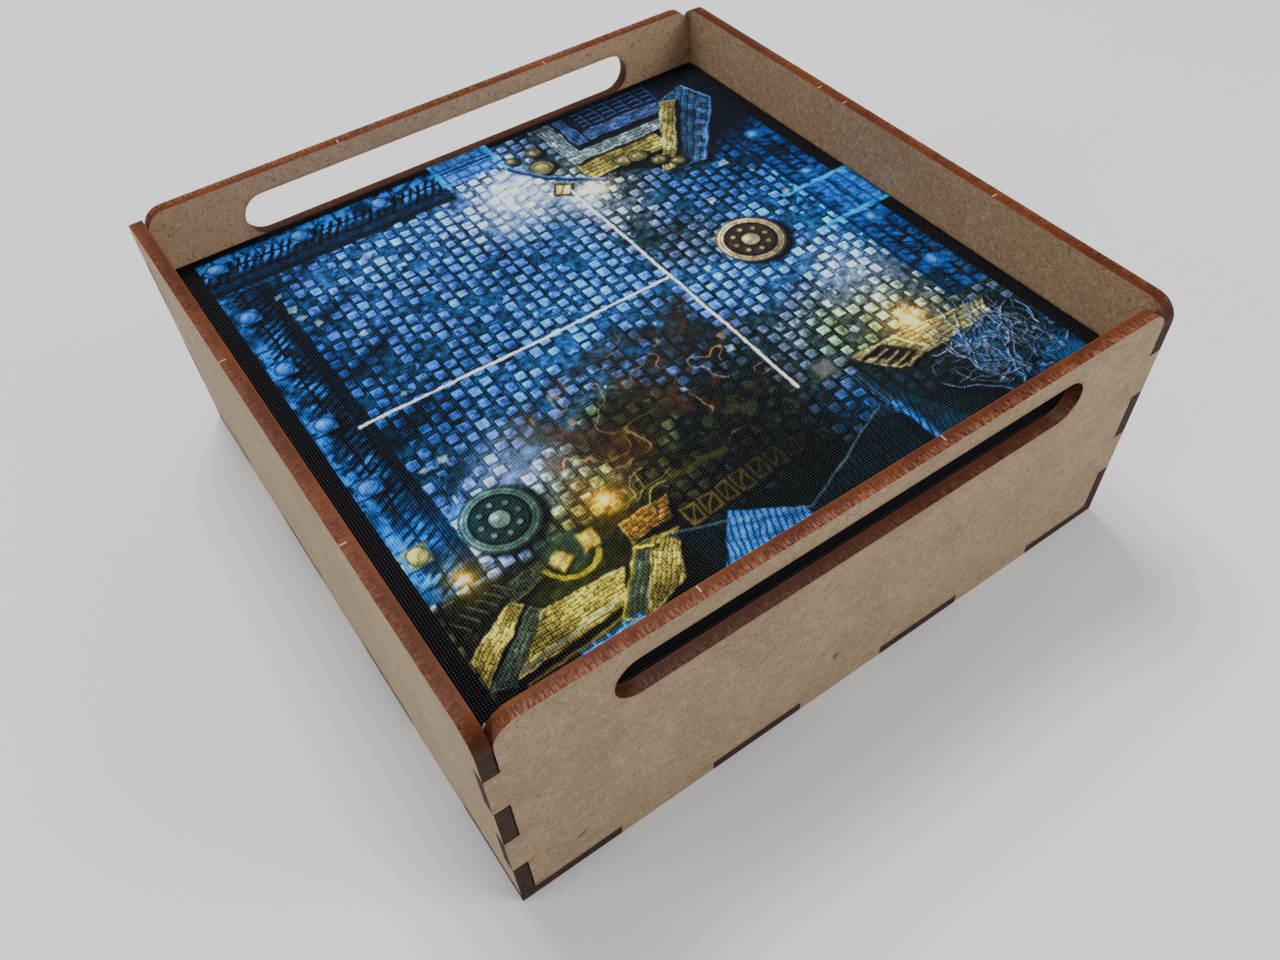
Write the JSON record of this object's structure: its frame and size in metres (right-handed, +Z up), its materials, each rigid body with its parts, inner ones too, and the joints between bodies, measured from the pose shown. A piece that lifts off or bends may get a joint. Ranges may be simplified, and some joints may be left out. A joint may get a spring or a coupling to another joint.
{
  "type": "tabletop dice tray",
  "caption": "Square finger-jointed box tray with long hand slots in the front and back walls and a printed cloth mat on a lift-out false floor over a storage space.",
  "frame": {"origin": "centre of the underside, where the tray stands on the table", "axes": "+X to the right along the front wall, +Y from the front wall to the back wall, +Z up out of the open top"},
  "size_m": [0.1584, 0.1584, 0.064],
  "materials": {
    "mdf": "bare laser-cut MDF, matt warm grey-tan faces, reddish brown cut edges",
    "mat_rubber": "black foam rubber, matt",
    "mat_cloth": "woven polyester printed in night blues with a black border"
  },
  "bodies": {
    "box": {"bottom_panel": "mdf", "front_wall": "mdf", "back_wall": "mdf", "left_wall": "mdf", "right_wall": "mdf", "front_floor_support": "mdf", "back_floor_support": "mdf", "left_floor_support": "mdf", "right_floor_support": "mdf"},
    "false_floor": {"false_floor": "mdf"},
    "mat": {"mat_rubber_base": "mat_rubber", "mat_cloth_face": "mat_cloth"}
  },
  "joints": [
    {"name": "floor_lift", "type": "slide", "parent": "box", "child": "false_floor", "axis": [0, 0, 1], "range_m": [0, 0.04]},
    {"name": "mat_lift", "type": "slide", "parent": "false_floor", "child": "mat", "axis": [0, 0, 1], "range_m": [0, 0.04]}
  ]
}
